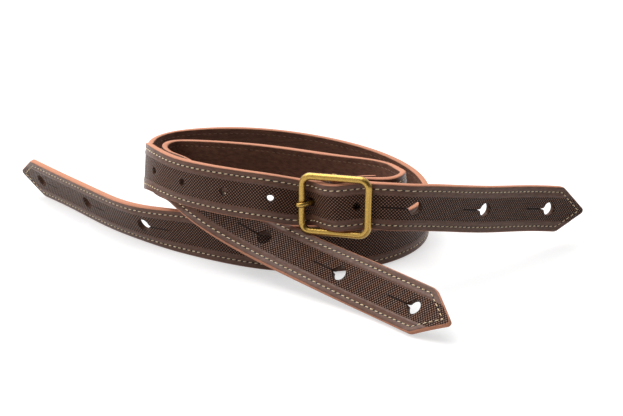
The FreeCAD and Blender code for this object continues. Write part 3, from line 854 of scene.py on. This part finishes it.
class Nodes:
    # a short way to write a material's or a world's shader

    def __init__(self, owner, kind="Material"):
        owner.use_nodes = True
        self.owner, self.tree = owner, owner.node_tree
        self.tree.nodes.clear()
        self.output = self.tree.nodes.new("ShaderNodeOutput" + kind)

    def put(self, socket, value):
        if isinstance(value, bpy.types.NodeSocket):
            self.tree.links.new(value, socket)
        elif isinstance(value, tuple) and len(value) == 3 and socket.type == "RGBA":
            socket.default_value = (*value, 1)
        else:
            socket.default_value = value

    def add(self, kind, settings=None, out=0, **inputs):
        node = self.tree.nodes.new("ShaderNode" + kind)
        for key, value in (settings or {}).items():
            setattr(node, key, value)
        for key, value in inputs.items():
            self.put(node.inputs[int(key[1:]) if key[0] == "i" and key[1:].isdigit() else key], value)
        return node.outputs[out]

    def maths(self, operation, *values):
        return self.add("Math", {"operation": operation}, **{"i%d" % k: v for k, v in enumerate(values)})

    def attribute(self, name):
        return self.add("Attribute", {"attribute_name": name}, out=2)

    def step(self, value, low, high, first=0.0, last=1.0):
        return self.add("MapRange", {"interpolation_type": "SMOOTHSTEP"},
                        i0=value, i1=low, i2=high, i3=first, i4=last)

    def mix(self, factor, a, b):
        node = self.tree.nodes.new("ShaderNodeMix")
        node.data_type = "RGBA"
        for index, value in ((0, factor), (6, a), (7, b)):
            self.put(node.inputs[index], value)
        return node.outputs[2]

    def blend(self, factor, a, b):
        return self.add("Mix", {"data_type": "FLOAT"}, i0=factor, i2=a, i3=b)

    def noise(self, scale, detail, rough):
        return self.add("TexNoise", Scale=scale, Detail=detail, Roughness=rough)

    def bump(self, height, distance, strength=1.0, normal=None):
        onto = {} if normal is None else {"Normal": normal}
        return self.add("Bump", Strength=strength, Distance=distance, Height=height, **onto)

    def finish(self, kind="BsdfPrincipled", **inputs):
        # the shader that everything leads to, with its inputs by name
        named = {key.replace("_", " "): value for key, value in inputs.items()}
        self.tree.links.new(self.add(kind, **named), self.output.inputs["Surface"])
        return self.owner


def material(name):
    return Nodes(bpy.data.materials.new(name))


def linear(*levels):
    # display levels from 0 to 255 as the shader's own values
    return tuple((v / 255 / 12.92) if v <= 10 else ((v / 255 + 0.055) / 1.055) ** 2.4 for v in levels)


leatherLook = {
    # the pressed pattern's pits are painted shade and its raised squares a painted highlight
    "paintedPitShade": linear(28, 16, 11),
    "paintedPillowHighlight": linear(131, 88, 65),
    "border": linear(106, 74, 60),
    "borderDark": linear(88, 60, 48),
    # painted shade, for the stitch line and round the holes
    "paintedShade": linear(30, 17, 12),
    "hatchAlong": 1.7,  # the pressed squares' pitch
    "hatchAcross": 1.8,
    "hatchDepth": 0.3,
    "hatchSpan": (0.25, 0.95),  # from the pits' painted shade to the raised squares' painted highlight
    "bandBlend": (-0.1, 0.3),  # about the border's width
    "grainDepth": 0.04,
    "roughness": 0.36,
    "wearRoughness": (-0.06, 0.1),
    "rawRoughness": 0.85,
    "borderSpecular": 0.26,
    "pillowSpecular": 0.5,
    "pitSpecular": 0.05,
    "shineSpan": (0.2, 0.9),
    "wear": (60.0, 5.0, 0.6),  # each noise's scale, detail and roughness
    "wearSpan": (0.3, 0.7),
    "grain": (1400.0, 5.0, 0.6),
    "pores": (420.0, 3.0, 0.5),
    "grooveSpan": (0.2, 0.5),  # the stitch line is painted dark as shade within these distances of its middle
    "cutShade": (0.1, 0.5, 0.8),  # and the leather round a hole gets painted shade from here to here, by this much
}


def strapCoordinates(n):
    # along and across the strap in millimetres
    where = n.add("UVMap", {"uv_map": "strapMap"})
    return [n.maths("MULTIPLY", n.add("SeparateXYZ", out=k, i0=where), 1 / mm) for k in range(2)]


# the cut edges, alike in both leathers
edgeLook = {
    "pale": linear(205, 146, 118),
    "dark": linear(172, 108, 78),
    # the hole walls' colour is painted shade
    "paintedHoleWallShade": linear(84, 58, 46),
    "fibres": (900.0, 6.0, 0.7),
    "fibreSpan": (0.35, 0.7),
    "ragged": 0.3,
    "span": (0.3, 0.6),
}


def withEdges(n, colour, rim, cut, wear):
    # the leather's colour with its raw edges and its hole walls painted dark as shade, and how far a spot
    # is on a raw edge
    ragged = n.maths("ADD", rim, n.maths("MULTIPLY", n.maths("SUBTRACT", wear, 0.5), edgeLook["ragged"]))
    fibres = n.step(n.noise(*edgeLook["fibres"]), *edgeLook["fibreSpan"])
    raw = n.step(ragged, *edgeLook["span"], 1.0, 0.0)
    colour = n.mix(raw, colour, n.mix(fibres, edgeLook["pale"], edgeLook["dark"]))
    # the hole walls are painted dark as shade
    return n.mix(n.maths("LESS_THAN", cut, -0.01), colour, edgeLook["paintedHoleWallShade"]), raw


def paintedShadeByHole(n, cut, look):
    # how much painted shade the leather gets beside a hole
    near, far, most = look["cutShade"]
    return n.step(cut, near, far, most, 0.0)


def outerLeather(name, look):
    n = material(name)
    rim, cut = n.attribute("rim"), n.attribute("cut")
    along, across = strapCoordinates(n)
    side = n.maths("SUBTRACT", halfWidth, n.maths("ABSOLUTE", across))
    steps = (n.maths("MULTIPLY", along, math.pi / look["hatchAlong"]),
             n.maths("MULTIPLY", across, math.pi / look["hatchAcross"]))
    waves = [n.maths("ABSOLUTE", n.maths("SINE", n.maths(way, *steps))) for way in ("ADD", "SUBTRACT")]
    hatch = n.maths("MULTIPLY", *waves)
    band = n.step(side, *[relief["borderWidth"] + more for more in look["bandBlend"]])
    wear, grain, pores = [n.noise(*look[which]) for which in ("wear", "grain", "pores")]
    # the band's pits get painted shade and its raised squares a painted highlight
    bandWithPaintedLight = n.mix(n.step(hatch, *look["hatchSpan"]), look["paintedPitShade"], look["paintedPillowHighlight"])
    borderColour = n.mix(n.step(wear, *look["wearSpan"]), look["border"], look["borderDark"])
    colour = n.mix(band, borderColour, bandWithPaintedLight)
    fromStitches = n.maths("ABSOLUTE", n.maths("SUBTRACT", rim, relief["stitchInset"]))
    # painted shade along the stitch line
    colour = n.mix(n.step(fromStitches, *look["grooveSpan"], 1.0, 0.0), colour, look["paintedShade"])
    # painted shade beside the holes
    colour = n.mix(paintedShadeByHole(n, cut, look), colour, look["paintedShade"])
    colour, raw = withEdges(n, colour, rim, cut, wear)
    normal = n.bump(n.maths("MULTIPLY", hatch, band), look["hatchDepth"] * mm)
    normal = n.bump(n.maths("ADD", grain, pores), look["grainDepth"] * mm, 0.8, normal)
    rough = n.step(wear, *look["wearSpan"], *[look["roughness"] + more for more in look["wearRoughness"]])
    rough = n.blend(raw, rough, look["rawRoughness"])
    bandShine = n.step(hatch, *look["shineSpan"], look["pitSpecular"], look["pillowSpecular"])
    shine = n.blend(band, look["borderSpecular"], bandShine)
    return n.finish(Base_Color=colour, Roughness=rough, Specular_IOR_Level=shine, Normal=normal)


liningLook = {
    "base": linear(108, 72, 55),
    "dark": linear(72, 45, 33),
    "roughness": 0.72,
    "specular": 0.2,
    "nap": (1800.0, 8.0, 0.75),
    "cloud": (45.0, 5.0, 0.6),
    "mottleSpan": (0.35, 0.65),
    "napDepth": 0.1,
    "cutShade": (0.1, 0.6, 0.7),
}


def innerLeather(name, look):
    n = material(name)
    rim, cut = n.attribute("rim"), n.attribute("cut")
    nap, cloud = n.noise(*look["nap"]), n.noise(*look["cloud"])
    mottle = n.maths("ADD", n.maths("MULTIPLY", nap, 0.5), n.maths("MULTIPLY", cloud, 0.5))
    colour = n.mix(n.step(mottle, *look["mottleSpan"]), look["base"], look["dark"])
    # painted shade beside the holes
    colour = n.mix(paintedShadeByHole(n, cut, look), colour, look["dark"])
    colour, _ = withEdges(n, colour, rim, cut, cloud)
    normal = n.bump(nap, look["napDepth"] * mm, 0.8)
    return n.finish(Base_Color=colour, Roughness=look["roughness"], Specular_IOR_Level=look["specular"],
                    Normal=normal)


threadLook = {
    "cream": linear(250, 226, 188),
    "shade": linear(214, 180, 138),
    # the stitches on the lining side are darker
    "liningSide": linear(120, 88, 66),
    "roughness": 0.6,
    "strands": (2600.0, 3.0, 0.6),
    "soil": (120.0, 4.0, 0.6),
    "soilSpan": (0.35, 0.75),
    "strandDepth": 0.08,
}


def thread(name, look):
    n = material(name)
    strands, soil = n.noise(*look["strands"]), n.noise(*look["soil"])
    colour = n.mix(n.step(soil, *look["soilSpan"]), look["cream"], look["shade"])
    # the stitches on the lining side are darker
    colour = n.mix(n.attribute("liningSide"), colour, look["liningSide"])
    normal = n.bump(strands, look["strandDepth"] * mm, 0.9)
    return n.finish(Base_Color=colour, Roughness=look["roughness"], Normal=normal)


brassLook = {
    "bright": linear(212, 176, 98),
    "worn": linear(160, 124, 58),
    "patina": linear(58, 40, 18),
    "roughness": 0.22,
    "cloud": (260.0, 6.0, 0.65),
    "cloudSpan": (0.35, 0.65),
    "specks": (900.0, 5.0, 0.7),
    "speckDepth": 0.06,
    "stainSpan": (0.48, 0.6),
    "stained": 0.85,
    "stainRougher": 0.3,
}


def antiqueBrass(name, look):
    n = material(name)
    cloud, specks = n.noise(*look["cloud"]), n.noise(*look["specks"])
    brass = n.mix(n.step(cloud, *look["cloudSpan"]), look["bright"], look["worn"])
    mottle = n.maths("ADD", n.maths("MULTIPLY", specks, 0.6), n.maths("MULTIPLY", cloud, 0.4))
    stain = n.step(mottle, *look["stainSpan"])
    colour = n.mix(n.maths("MULTIPLY", stain, look["stained"]), brass, look["patina"])
    normal = n.bump(specks, look["speckDepth"] * mm, 0.6)
    rough = n.maths("ADD", look["roughness"], n.maths("MULTIPLY", stain, look["stainRougher"]))
    return n.finish(Base_Color=colour, Metallic=1.0, Roughness=rough, Normal=normal)


finishes = {
    "dark_brown_leather": (outerLeather("darkBrownLeather", leatherLook),
                           ["long_strap_leather", "short_strap_leather"]),
    "brown_lining_leather": (innerLeather("liningLeather", liningLook),
                             ["long_strap_lining", "short_strap_lining"]),
    "cream_thread": (thread("creamThread", threadLook),
                     ["long_strap_stitching", "short_strap_stitching", "fold_stitching"]),
}
for slotName, (leatherOrThread, nodes) in finishes.items():
    for node in nodes:
        pieces[node].data.materials.append(leatherOrThread)
brass = antiqueBrass("antiqueBrass", brassLook)
for piece in brassPieces.values():
    piece.data.materials.append(brass)
print("finishes: %d" % (len(finishes) + 1))


# the stand: a wide white floor, soft light from all round and a large lamp behind and above
light = {
    "floorSize": 6.0,
    "floorColour": (0.6, 0.6, 0.6),
    "floorSeen": (0.5, 0.5, 0.5),
    "floorGlow": 0.56,
    "floorRoughness": 0.9,
    "floorSpecular": 0.1,
    "skyColour": (1.0, 1.0, 1.0),
    "skyStrength": 0.95,
    "darkSide": (0.5, -0.86, 0.0),
    "darkSpan": (0.0, 0.7),
    "darkLevel": 0.12,
    "keyPower": 27.0,
    "keySize": 1.6,
    "keyPlace": (-0.55, 0.45, 1.2),
    "keyTarget": (0, 0, 0.03),
}


def seenRay(n):
    # 1 where the camera or a shiny surface looks, 0 for the light that falls on things
    rays = [n.add("LightPath", out=kind) for kind in ("Is Camera Ray", "Is Glossy Ray")]
    return n.maths("MAXIMUM", *rays)


def floorSheet():
    # white for the camera except where the strap's shadow falls
    bpy.ops.mesh.primitive_plane_add(size=light["floorSize"], location=(0, 0, 0))
    floor = bpy.context.object
    floor.name = "floor"
    n = material("floorWhite")
    seen = seenRay(n)
    floor.data.materials.append(n.finish(
        Base_Color=n.mix(seen, light["floorColour"], light["floorSeen"]),
        Roughness=light["floorRoughness"], Specular_IOR_Level=light["floorSpecular"],
        Emission_Color=(1.0, 1.0, 1.0), Emission_Strength=n.maths("MULTIPLY", seen, light["floorGlow"])))


def sky():
    # white above, behind and to the left, darker in front and to the right
    n = Nodes(bpy.data.worlds.new("sky"), "World")
    bpy.context.scene.world = n.owner
    towards = n.add("VectorMath", {"operation": "DOT_PRODUCT"}, out="Value",
                    i0=n.add("TexCoord", out="Generated"), i1=light["darkSide"])
    level = n.step(towards, *light["darkSpan"], 1.0, light["darkLevel"])
    strength = n.blend(seenRay(n), light["skyStrength"], 1.0)
    n.finish("Background", Color=light["skyColour"], Strength=n.maths("MULTIPLY", level, strength))


def aimed(name, data, place, target):
    # an object that stands at a place and points at a target
    piece = added(name, data)
    piece.location = place
    piece.rotation_euler = (Vector(target) - Vector(place)).to_track_quat("-Z", "Y").to_euler()
    return piece


floorSheet()
sky()
lampData = bpy.data.lights.new("keyLamp", "AREA")
lampData.size, lampData.energy = light["keySize"], light["keyPower"]
aimed("keyLamp", lampData, light["keyPlace"], light["keyTarget"])
print("stand: floor, sky and lamp")


# the camera stands in front and looks a little down
view = {
    "place": (0.011, -0.8408, 0.3246),
    "target": (0.011, -0.009, 0.032),
    "lens": 96.8,
    "sensor": 36.0,
}
cameraData = bpy.data.cameras.new("camera")
cameraData.lens, cameraData.sensor_width = view["lens"], view["sensor"]
bpy.context.scene.camera = aimed("camera", cameraData, view["place"], view["target"])
bpy.context.scene.view_settings.view_transform = "Standard"
print("camera: lens %.1f mm" % view["lens"])
